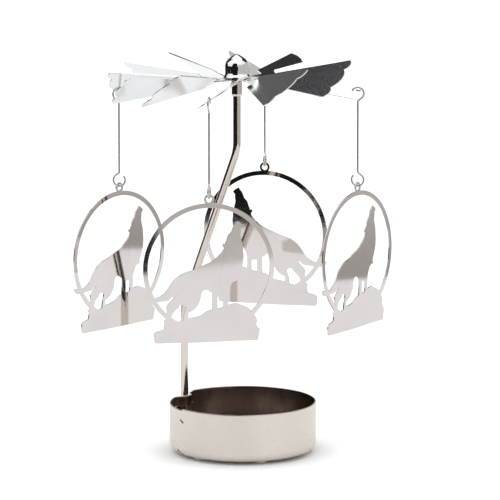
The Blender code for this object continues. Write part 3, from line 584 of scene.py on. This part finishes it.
wheel = {
    "sheet": 0.00045, "aboveDisc": 0.0050, "discRadius": 0.0062, "discHole": 0.0020,
    "blades": 12, "first": -97.2, "twist": 32.3,
    "neckHalf": 0.0011, "neckFoot": 0.0019, "neckFillet": 0.0009, "neckRows": 14,
    "rootRadius": 0.0177, "rootHalf": 0.00385, "rootRound": 0.0006,
    "cornerRadius": 0.0508, "cornerHalf": 0.0121, "cornerRound": 0.0010,
    "notchRadius": 0.0511, "notchHalf": 0.0059, "peakRadius": 0.0525, "peakHalf": 0.0092,
    "tipRadius": 0.0535, "edgeRound": 0.00007,
    "droop": (0.4, -0.6, -1.9, 2.4, 0.0, 1.3, -0.5, -1.3, -0.1, 1.5, 1.2, -0.3),
    "extraTwist": (-1.3, 1.1, -0.2, 0.0, 0.0, -0.6, -0.1, 2.1, 0.4, -0.7, -1.8, 1.2),
    "holeAt": 0.0484, "holeSide": -0.0058, "holeRadius": 0.0012, "holeSteps": 24,
    "shoulderSteps": 4, "cornerSteps": 6, "peakSteps": 12, "tipSteps": 24, "flatTurn": 0.5,
}
# hook name: its blade, the azimuth its loops open to, and the way its medallion faces
hangers = {
    "front": (0, -100.0, 9.5), "right": (3, -12.0, 57.0), "back": (6, 80.0, 166.0),
    "left": (9, 168.0, 47.0),
}


def bladeAxes(k, r):
    share = ease((r - wheel["discRadius"]) / (wheel["rootRadius"] - wheel["discRadius"]))
    droop = radians(wheel["droop"][k]) * share
    twist = radians(wheel["twist"] + wheel["extraTwist"][k]) * share
    out, up = heading(wheel["first"] + 360 / wheel["blades"] * k), Vector((0, 0, 1))
    along = cos(droop) * out - sin(droop) * up
    lifted = cos(droop) * up + sin(droop) * out
    return along, cos(twist) * up.cross(out) + sin(twist) * lifted


def bladePoint(k, r, w):
    along, across = bladeAxes(k, r)
    return along * r + across * w - Vector((0, 0, wheel["aboveDisc"] + wheel["sheet"] / 2))


def arcOver(start, peak, end, steps):
    # points of the arc over three points, its two ends left out
    (ax, ay), (bx, by), (cx, cy) = start, peak, end
    d = 2 * (ax * (by - cy) + bx * (cy - ay) + cx * (ay - by))
    aa, bb, cc = ax * ax + ay * ay, bx * bx + by * by, cx * cx + cy * cy
    x = (aa * (by - cy) + bb * (cy - ay) + cc * (ay - by)) / d
    y = (aa * (cx - bx) + bb * (ax - cx) + cc * (bx - ax)) / d
    radius = sqrt((ax - x) ** 2 + (ay - y) ** 2)
    first, last = atan2(ay - y, ax - x), atan2(cy - y, cx - x)
    return [(x + radius * cos(first + (last - first) * i / steps),
             y + radius * sin(first + (last - first) * i / steps)) for i in range(1, steps)]


def bladeOutline():
    # half of a blade's edge from the disc to its tip, then mirrored for the other half
    base = sqrt(wheel["discRadius"] ** 2 - wheel["neckFoot"] ** 2)
    fillet, round_ = wheel["neckFillet"], wheel["rootRound"]
    low = [Vector((base, wheel["neckFoot"], 0)), Vector((base + fillet, wheel["neckHalf"], 0)),
           Vector((wheel["rootRadius"], wheel["neckHalf"], 0)),
           Vector((wheel["rootRadius"], wheel["rootHalf"], 0)),
           Vector((wheel["cornerRadius"], wheel["cornerHalf"], 0))]
    neck = turned(low[:4], round_ * 0.7, wheel["shoulderSteps"])[:-1]
    shoulder = turned(low[2:], round_ * 0.5, wheel["shoulderSteps"])[1:-1]
    corner, peak, notch = [(wheel[n + "Radius"], wheel[n + "Half"]) for n in ("corner", "peak", "notch")]
    side = arcOver(corner, peak, notch, wheel["peakSteps"])
    outer = turned([low[3], low[4], Vector((*side[2], 0))], wheel["cornerRound"],
                   wheel["cornerSteps"])[1:-1]
    half = [(p.x, p.y) for p in neck + shoulder + outer] + side[3:] + [notch]
    tip = arcOver(notch, (wheel["tipRadius"], 0), (notch[0], -notch[1]), wheel["tipSteps"])
    return half + tip + [(r, -w) for r, w in half[::-1]]


def flatSheet(name, loops):
    # fill flat outlines, the inner ones left open
    curve = bpy.data.curves.new(name, 'CURVE')
    curve.dimensions = '2D'
    curve.fill_mode = 'BOTH'
    for loop in loops:
        spline = curve.splines.new('POLY')
        spline.points.add(len(loop) - 1)
        for point, (x, y) in zip(spline.points, loop):
            point.co = (x, y, 0, 1)
        spline.use_cyclic_u = True
    obj = bpy.data.objects.new(name, curve)
    scene.collection.objects.link(obj)
    return meshed(obj)


def ringOf(radius, steps, centre=(0, 0)):
    return [(centre[0] + radius * cos(2 * pi * i / steps), centre[1] + radius * sin(2 * pi * i / steps))
            for i in range(steps)]


def makeWheel():
    bm = bmesh.new()
    drilled = [k for k, _, _ in hangers.values()]
    base = sqrt(wheel["discRadius"] ** 2 - wheel["neckFoot"] ** 2)
    for k in range(wheel["blades"]):
        loops = [bladeOutline()]
        if k in drilled:
            loops.append(ringOf(wheel["holeRadius"], wheel["holeSteps"],
                                (wheel["holeAt"], wheel["holeSide"])))
        blank = flatSheet("blade_blank", loops)
        blade = bmesh.new()
        blade.from_mesh(blank.data)
        bpy.data.objects.remove(blank, do_unlink=True)
        bmesh.ops.remove_doubles(blade, verts=blade.verts[:], dist=fine)
        bmesh.ops.dissolve_limit(blade, angle_limit=radians(wheel["flatTurn"]),
                                 verts=blade.verts[:], edges=blade.edges[:])
        for i in range(1, wheel["neckRows"] + 1):
            r = base + (wheel["rootRadius"] - base) * i / wheel["neckRows"]
            bmesh.ops.bisect_plane(blade, geom=blade.verts[:] + blade.edges[:] + blade.faces[:],
                                   plane_co=(r, 0, 0), plane_no=(1, 0, 0), dist=hair)
        if sum(f.normal.z for f in blade.faces) < 0:
            bmesh.ops.reverse_faces(blade, faces=blade.faces[:])
        for v in blade.verts:
            v.co = bladePoint(k, v.co.x, v.co.y)
        flat = bpy.data.meshes.new("blade_sheet")
        blade.to_mesh(flat)
        blade.free()
        bm.from_mesh(flat)
        bpy.data.meshes.remove(flat)

    # the hub disc, its edge meeting every neck's foot
    level = -wheel["aboveDisc"] - wheel["sheet"] / 2
    half = asin(wheel["neckFoot"] / wheel["discRadius"])
    pitch = 2 * pi / wheel["blades"]
    turns = []
    for k in range(wheel["blades"]):
        middle = radians(wheel["first"]) + pitch * k
        turns += [middle - half, middle + half]
        turns += [middle + half + (pitch - 2 * half) * i / 4 for i in range(1, 4)]
    rim = [bm.verts.new((wheel["discRadius"] * cos(t), wheel["discRadius"] * sin(t), level)) for t in turns]
    hole = [bm.verts.new((wheel["discHole"] * cos(t), wheel["discHole"] * sin(t), level)) for t in turns]
    loops = [bm.edges.new((ring[i], ring[i - 1])) for ring in (rim, hole) for i in range(len(ring))]
    disc = bmesh.ops.bridge_loops(bm, edges=loops)["faces"]
    if disc[0].normal.z < 0:
        bmesh.ops.reverse_faces(bm, faces=disc)
    bmesh.ops.remove_doubles(bm, verts=bm.verts[:], dist=weld)
    obj = twoSlots(newObject("wheel_sheet", bm))
    sheet = obj.modifiers.new("sheet", 'SOLIDIFY')
    sheet.thickness = wheel["sheet"]
    sheet.offset = 0
    sheet.material_offset_rim = 1
    edgeBevel(obj, wheel["edgeRound"], slot=1)
    placed(obj, leaning())
    obj = flatShaded(meshed(obj))
    return dressed(obj, "rotor", "rotor_wheel", bladeChrome)


wheelSheet = makeWheel()
print("wheel done:", len(wheelSheet.data.polygons), "faces")

# hooks bent from wire

hook = {
    "radius": 0.000375, "loop": 0.0025, "apart": 0.0358, "from": -52.0, "upperTo": 182.0,
    "lowerTo": 226.0, "fillet": 0.0009, "filletSteps": 8, "step": 5.0, "slack": 0.0006,
    "inward": 0.00015, "sides": 16, "endRound": 0.00012, "endSteps": 2,
}


def hookPlace(k, azimuth):
    # centre of the upper loop, its top resting on the blade's edge in the hole
    lean = leaning()
    crossing = lean @ bladePoint(k, wheel["holeAt"] - hook["inward"], wheel["holeSide"])
    along, across = bladeAxes(k, wheel["holeAt"])
    normal = lean.to_3x3() @ along.cross(across)
    out = heading(azimuth)
    slope = atan2(-normal.dot(out), normal.z)
    inPlane = sqrt(normal.dot(out) ** 2 + normal.z ** 2)
    drop = hook["loop"] - hook["radius"] - hook["slack"] - wheel["sheet"] / 2 / inPlane
    half = sqrt(hook["loop"] ** 2 - drop ** 2)
    line = out * cos(slope) + Vector((0, 0, sin(slope)))
    up = Vector((0, 0, cos(slope))) - out * sin(slope)
    return crossing - up * drop + line * half


def hookPath():
    def loop(centre, side, end):
        count = round((end - hook["from"]) / hook["step"])
        turns = [radians(hook["from"] + (end - hook["from"]) * i / count) for i in range(count + 1)]
        return [Vector((hook["loop"] * cos(t), 0, centre + side * hook["loop"] * sin(t))) for t in turns]
    upper, lower = loop(0, 1, hook["upperTo"]), loop(-hook["apart"], -1, hook["lowerTo"])
    start = radians(hook["from"])
    knee = hook["loop"] * (-sin(start) + cos(start) ** 2 / -sin(start))
    corners = [upper[0], Vector((0, 0, -knee)), Vector((0, 0, knee - hook["apart"])), lower[0]]
    return upper[::-1] + turned(corners, hook["fillet"], hook["filletSteps"])[1:-1] + lower


for name, (k, loopAzimuth, _) in hangers.items():
    wireHook = rod("hook_wire_" + name, hookPath(), hook["radius"], hook["sides"])
    wireHook = roundedEnds(wireHook, hook["endRound"], hook["endSteps"])
    placed(wireHook, Matrix.Translation(hookPlace(k, loopAzimuth))
           @ Matrix.Rotation(radians(loopAzimuth), 4, 'Z'))
    dressed(smoothed(wireHook), "hook_" + name, "hook_" + name, hookWire)
print("hooks done")

# medallions: ring, eye and a howling wolf on a rock, stamped from one sheet

plate = {
    "sheet": 0.0005, "ring": 0.0268, "band": 0.0019, "ringSteps": 192, "eyeHeight": 0.0283,
    "eyeRadius": 0.00215, "eyeHole": 0.00124, "eyeSteps": 48, "hang": 0.516, "gap": 0.0003,
    "sharpTurn": 34.0, "curveSteps": 5, "edgeRound": 0.00006, "flatTurn": 0.1, "wideFacing": 0.5,
}
# outlines as shares of the ring's radius, right and up
wolfShares = (
    (0.443, 0.712), (0.456, 0.706), (0.481, 0.690), (0.509, 0.664), (0.521, 0.645),
    (0.506, 0.634), (0.489, 0.610), (0.487, 0.560), (0.481, 0.501), (0.490, 0.448),
    (0.508, 0.387), (0.522, 0.322), (0.524, 0.262), (0.531, 0.196), (0.528, 0.130),
    (0.522, 0.071), (0.500, 0.010), (0.481, -0.049), (0.459, -0.090), (0.447, -0.137),
    (0.463, -0.194), (0.430, -0.187), (0.401, -0.203), (0.385, -0.205), (0.368, -0.219),
    (0.334, -0.277), (0.318, -0.320), (0.302, -0.366), (0.299, -0.450), (0.297, -0.556),
    (0.321, -0.557), (0.377, -0.540), (0.436, -0.540), (0.489, -0.560), (0.552, -0.588),
    (0.619, -0.620), (0.642, -0.640), (0.649, -0.681), (0.672, -0.701), (0.698, -0.694),
    (0.716, -0.739), (0.739, -0.777), (0.746, -0.810), (0.739, -0.870), (0.757, -0.911),
    (0.787, -0.938), (0.791, -0.950), (0.776, -1.027), (0.765, -1.101), (0.750, -1.114),
    (0.474, -1.117), (0.168, -1.124), (-0.134, -1.131), (-0.593, -1.130), (-0.799, -1.128),
    (-0.816, -1.118), (-0.825, -1.091), (-0.825, -0.986), (-0.808, -0.960), (-0.769, -0.946),
    (-0.716, -0.933), (-0.681, -0.923), (-0.674, -0.889), (-0.671, -0.830), (-0.681, -0.803),
    (-0.640, -0.746), (-0.634, -0.715), (-0.637, -0.560), (-0.626, -0.542), (-0.589, -0.500),
    (-0.540, -0.446), (-0.533, -0.436), (-0.536, -0.420), (-0.552, -0.426), (-0.610, -0.478),
    (-0.700, -0.489), (-0.820, -0.500), (-0.920, -0.505), (-0.968, -0.470), (-0.992, -0.424),
    (-0.940, -0.418), (-0.880, -0.430), (-0.815, -0.437), (-0.774, -0.421), (-0.731, -0.401),
    (-0.683, -0.369), (-0.650, -0.332), (-0.617, -0.287), (-0.571, -0.215), (-0.535, -0.170),
    (-0.496, -0.133), (-0.387, -0.062), (-0.257, -0.022), (-0.127, 0.034), (0.058, 0.121),
    (0.151, 0.202), (0.188, 0.240), (0.225, 0.292), (0.223, 0.318), (0.205, 0.341),
    (0.215, 0.380), (0.250, 0.372), (0.248, 0.400), (0.261, 0.421), (0.284, 0.496),
    (0.300, 0.520), (0.336, 0.558), (0.345, 0.585), (0.373, 0.651), (0.400, 0.684),
    (0.420, 0.712), (0.432, 0.722),
)
hindGapShares = (
    (-0.434, -0.549), (-0.373, -0.543), (-0.345, -0.570), (-0.350, -0.608), (-0.368, -0.670),
    (-0.380, -0.729), (-0.385, -0.787), (-0.441, -0.801), (-0.480, -0.826), (-0.521, -0.852),
    (-0.556, -0.829), (-0.579, -0.801), (-0.567, -0.748), (-0.544, -0.686), (-0.510, -0.638),
    (-0.457, -0.593),
)
bellyGapShares = (
    (-0.315, -0.678), (-0.315, -0.750), (-0.289, -0.750), (-0.212, -0.738), (-0.121, -0.715),
    (-0.060, -0.676), (0.001, -0.643), (0.052, -0.629), (0.056, -0.400), (0.048, -0.366),
    (0.012, -0.355), (-0.006, -0.331), (-0.044, -0.326), (-0.082, -0.337), (-0.105, -0.378),
    (-0.120, -0.446), (-0.128, -0.492), (-0.159, -0.552), (-0.197, -0.605), (-0.258, -0.649),
)
foreGapShares = ((0.139, -0.424), (0.227, -0.426), (0.230, -0.594), (0.139, -0.613))


def stamped(name, loops, softened):
    # a thin plate cut by closed outlines; the softened ones run smoothly but for their sharp corners
    curve = bpy.data.curves.new(name, 'CURVE')
    curve.dimensions = '2D'
    curve.fill_mode = 'BOTH'
    curve.extrude = plate["sheet"] / 2
    curve.resolution_u = plate["curveSteps"]
    for loop in loops:
        if not softened:
            spline = curve.splines.new('POLY')
            spline.points.add(len(loop) - 1)
            for point, (x, y) in zip(spline.points, loop):
                point.co = (x, y, 0, 1)
        else:
            spline = curve.splines.new('BEZIER')
            spline.bezier_points.add(len(loop) - 1)
            for i, point in enumerate(spline.bezier_points):
                before, here, after = (Vector(loop[j % len(loop)]) for j in (i - 1, i, i + 1))
                sharp = (here - before).angle(after - here) > radians(plate["sharpTurn"])
                point.co = (*here, 0)
                point.handle_left_type = point.handle_right_type = 'VECTOR' if sharp else 'AUTO'
        spline.use_cyclic_u = True
    obj = bpy.data.objects.new(name, curve)
    scene.collection.objects.link(obj)
    return cleaned(meshed(obj))


def united(first, second):
    union = first.modifiers.new("union", 'BOOLEAN')
    union.operation = 'UNION'
    union.solver = 'EXACT'
    union.object = second
    obj = cleaned(meshed(first))
    bpy.data.objects.remove(second, do_unlink=True)
    return obj


def makePlate():
    def scaled(shares):
        return [(u * plate["ring"], v * plate["ring"]) for u, v in shares]
    top = (0, plate["eyeHeight"])
    ring = stamped("medallion_ring", [ringOf(plate["ring"], plate["ringSteps"]),
                                      ringOf(plate["ring"] - plate["band"], plate["ringSteps"])], False)
    figure = stamped("medallion_figure", [scaled(s) for s in (wolfShares, hindGapShares, bellyGapShares,
                                                              foreGapShares)], True)
    eye = stamped("medallion_eye", [ringOf(plate["eyeRadius"], plate["eyeSteps"], top),
                                    ringOf(plate["eyeHole"], plate["eyeSteps"], top)], False)
    obj = united(united(ring, figure), eye)
    bm = bmesh.new()
    bm.from_mesh(obj.data)
    bmesh.ops.dissolve_limit(bm, angle_limit=radians(plate["flatTurn"]), verts=bm.verts[:],
                             edges=bm.edges[:])
    bmesh.ops.triangulate(bm, faces=[f for f in bm.faces if abs(f.normal.z) > plate["wideFacing"]],
                          quad_method='BEAUTY', ngon_method='EAR_CLIP')
    for face in bm.faces:
        face.material_index = 0 if abs(face.normal.z) > plate["wideFacing"] else 1
    bm.to_mesh(obj.data)
    bm.free()
    below = plate["eyeHeight"] + plate["eyeHole"] - hook["radius"] - plate["gap"]
    placed(twoSlots(obj), Matrix.Rotation(radians(plate["hang"]), 4, 'Y')
           @ Matrix.Translation((0, 0, -below)) @ Matrix.Rotation(pi / 2, 4, 'X'))
    return flatShaded(meshed(edgeBevel(obj, plate["edgeRound"], slot=1)))


pattern = makePlate()
for name, (k, loopAzimuth, faces) in hangers.items():
    medallion = bpy.data.objects.new("medallion_plate_" + name, pattern.data.copy())
    scene.collection.objects.link(medallion)
    wire = hookPlace(k, loopAzimuth) - Vector((0, 0, hook["apart"] + hook["loop"]))
    placed(medallion, Matrix.Translation(wire) @ Matrix.Rotation(radians(faces), 4, 'Z'))
    dressed(medallion, "medallion_" + name, "medallion_" + name, plateChrome)
bpy.data.objects.remove(pattern, do_unlink=True)
print("medallions done")

# table, studio and camera

studio = {
    "tableZ": -0.0017, "tableWhite": 0.93,
    # round the cup's middle the lift fades in between these two radii, leaving a painted shadow under the
    # cup
    "tableLift": 0.18, "paintedShadowRadius": 0.029, "paintedShadowFadeEnd": 0.040,
    "sun": 0.9, "sunWidth": 88.0, "sunTilt": (8.0, -6.0), "ambient": 0.82,
    "table": ((-0.66, -0.25), (0.12, -0.496), (0.415, -0.58), (0.415, 6.0), (-0.66, 6.0)),
}
# dark and grey cards round the table, seen only in the metal: the line each stands on,
# then heights with the tone there
black, pale = (0.010, 0.010, 0.010), (0.66, 0.64, 0.62)
umber, taupe = (0.42, 0.40, 0.39), (0.60, 0.578, 0.562)
cards = {
    "card_front": ((-0.66, -0.25), (0.109, -0.492), ((0.0, black), (0.20, black))),
    "card_camera": ((-0.348, -0.348), (0.04, -0.47), ((0.20, black), (0.72, black))),
    "card_front_right": ((0.109, -0.492), (0.44, -0.60), ((0.0, pale), (0.035, taupe), (0.45, taupe))),
    "card_right": ((0.415, -0.62), (0.415, 0.80), ((0.0, umber), (0.04, taupe), (0.38, taupe))),
    "card_left": ((-0.66, -0.30), (-0.66, 0.06), ((0.0, black), (0.20, black))),
    "card_back_left": ((-0.66, 0.06), (-0.25, 0.26), ((0.0, black), (0.35, black))),
    "card_back": ((-6.0, 5.9), (5.6, 5.9), (
        (0.60, (0.85, 0.84, 0.83)), (1.0, (0.54, 0.53, 0.52)), (1.6, (0.22, 0.213, 0.21)),
        (2.2, (0.135, 0.131, 0.130)), (3.0, (0.065, 0.064, 0.064)), (3.8, (0.038, 0.038, 0.040)),
        (5.8, (0.030, 0.029, 0.034)), (6.6, (0.032, 0.031, 0.036)), (7.4, (0.10, 0.097, 0.10)),
        (8.0, (0.16, 0.155, 0.16)))),
    "card_high_left": ((-6.0, 5.9), (-3.0, 1.35), ((0.9, black), (8.0, black))),
    "card_high_right": ((3.0, 3.2), (3.2, 1.3), ((0.9, black), (5.6, black))),
}


def tableMatte(name):
    # matt white, lifted a little towards white where the camera sees it; the lift is left out under the
    # cup, a painted shadow there
    material = bpy.data.materials.new(name)
    material.use_nodes = True
    tree = material.node_tree
    shader = tree.nodes["Principled BSDF"]
    shader.inputs["Base Color"].default_value = (*(studio["tableWhite"],) * 3, 1)
    shader.inputs["Roughness"].default_value = 1.0
    shader.inputs["Specular IOR Level"].default_value = 0.0
    shader.inputs["Emission Color"].default_value = (1, 1, 1, 1)
    coords = tree.nodes.new('ShaderNodeTexCoord')
    away = tree.nodes.new('ShaderNodeVectorMath')
    away.operation = 'LENGTH'
    tree.links.new(coords.outputs["Object"], away.inputs[0])
    path = tree.nodes.new('ShaderNodeLightPath')
    lift = tree.nodes.new('ShaderNodeMath')
    lift.operation = 'MULTIPLY'
    tree.links.new(path.outputs["Is Camera Ray"], lift.inputs[0])
    liftPastPaintedShadow = ranged(tree, away.outputs["Value"], 0, studio["tableLift"], studio["paintedShadowRadius"],
                     studio["paintedShadowFadeEnd"])
    tree.links.new(liftPastPaintedShadow, lift.inputs[1])
    tree.links.new(lift.outputs[0], shader.inputs["Emission Strength"])
    return material


def cardTones(name, stops):
    # an even glow that changes with height
    material = bpy.data.materials.new(name)
    material.use_nodes = True
    tree = material.node_tree
    tree.nodes.clear()
    low, high = stops[0][0], stops[-1][0]
    coords = tree.nodes.new('ShaderNodeTexCoord')
    apart = tree.nodes.new('ShaderNodeSeparateXYZ')
    tree.links.new(coords.outputs["Object"], apart.inputs["Vector"])
    ramp = tree.nodes.new('ShaderNodeValToRGB')
    while len(ramp.color_ramp.elements) < len(stops):
        ramp.color_ramp.elements.new(1.0)
    for element, (height, tone) in zip(ramp.color_ramp.elements, stops):
        element.position = (height - low) / (high - low)
        element.color = (*tone, 1)
    tree.links.new(ranged(tree, apart.outputs["Z"], 0, 1, low, high), ramp.inputs["Fac"])
    glow = tree.nodes.new('ShaderNodeEmission')
    tree.links.new(ramp.outputs["Color"], glow.inputs["Color"])
    output = tree.nodes.new('ShaderNodeOutputMaterial')
    tree.links.new(glow.outputs["Emission"], output.inputs["Surface"])
    return material


def sheetOf(name, corners, material):
    bm = bmesh.new()
    bm.faces.new([bm.verts.new(c) for c in corners])
    obj = newObject(name, bm)
    obj.data.materials.append(material)
    obj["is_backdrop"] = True
    return obj


level = studio["tableZ"]
sheetOf("table_top", [(x, y, level) for x, y in studio["table"]], tableMatte("table_white"))
for name, ((ax, ay), (bx, by), stops) in cards.items():
    low, high = level + stops[0][0], level + stops[-1][0]
    card = sheetOf(name, [(ax, ay, low), (bx, by, low), (bx, by, high), (ax, ay, high)],
                   cardTones(name, stops))
    card.visible_camera = False
    card.visible_diffuse = False
    card.visible_shadow = False

sunData = bpy.data.lights.new("soft_top_light", 'SUN')
sunData.energy = studio["sun"]
sunData.angle = radians(studio["sunWidth"])
sun = bpy.data.objects.new("soft_top_light", sunData)
sun.rotation_euler = [radians(a) for a in (*studio["sunTilt"], 0)]
scene.collection.objects.link(sun)

world = bpy.data.worlds.new("white_studio")
scene.world = world
world.use_nodes = True
tree = world.node_tree
background = tree.nodes["Background"]
background.inputs["Color"].default_value = (1, 1, 1, 1)
lightPath = tree.nodes.new('ShaderNodeLightPath')
seen = lightPath.outputs["Is Camera Ray"]
for ray in ("Is Glossy Ray", "Is Transmission Ray"):
    either = tree.nodes.new('ShaderNodeMath')
    either.operation = 'MAXIMUM'
    tree.links.new(seen, either.inputs[0])
    tree.links.new(lightPath.outputs[ray], either.inputs[1])
    seen = either.outputs[0]
tree.links.new(ranged(tree, seen, studio["ambient"], 1.0, 0.0, 1.0), background.inputs["Strength"])

view = {
    "target": (0.00299, 0.0, 0.08303), "distance": 2.269, "pitch": 10.1, "lens": 396.0,
    "sensor": 36.0, "clip": (0.1, 50.0),
}
cameraData = bpy.data.cameras.new("camera")
cameraData.lens = view["lens"]
cameraData.sensor_width = view["sensor"]
cameraData.clip_start, cameraData.clip_end = view["clip"]
camera = bpy.data.objects.new("camera", cameraData)
pitch = radians(view["pitch"])
camera.location = Vector(view["target"]) + Vector((0, -cos(pitch), sin(pitch))) * view["distance"]
camera.rotation_euler = (pi / 2 - pitch, 0, 0)
scene.collection.objects.link(camera)
scene.camera = camera
scene.view_settings.view_transform = 'Standard'
print("studio ready")

low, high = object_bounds()
